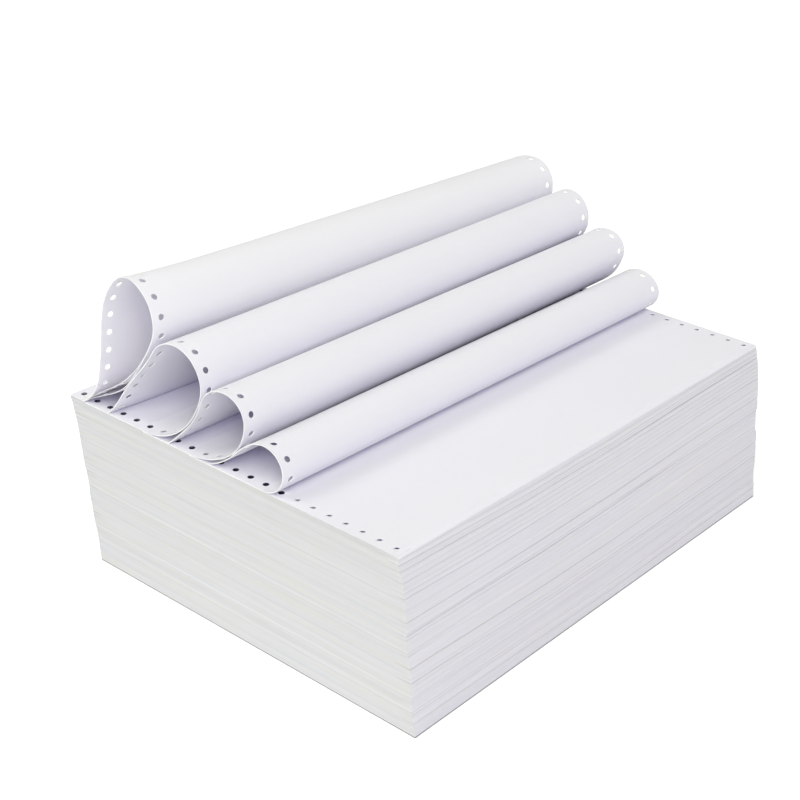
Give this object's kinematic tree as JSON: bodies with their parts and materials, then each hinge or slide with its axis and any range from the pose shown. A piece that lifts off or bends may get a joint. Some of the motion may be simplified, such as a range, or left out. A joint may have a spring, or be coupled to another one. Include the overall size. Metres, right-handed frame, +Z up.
{
  "type": "stack of continuous form paper",
  "caption": "Stack of fanfold continuous form paper with sprocket holes along both edges, its top pages laid back in loose curls over the flat pile.",
  "frame": {"origin": "centre of the bounding box at its base, where the stack rests", "axes": "+X across the form, along the folds; +Y along the page, from the front folds to the back folds; +Z up"},
  "size_m": [0.3872, 0.2877, 0.2252],
  "materials": {
    "paper": "matt white uncoated paper"
  },
  "bodies": {
    "root": {"continuous_form": "paper"}
  },
  "joints": []
}
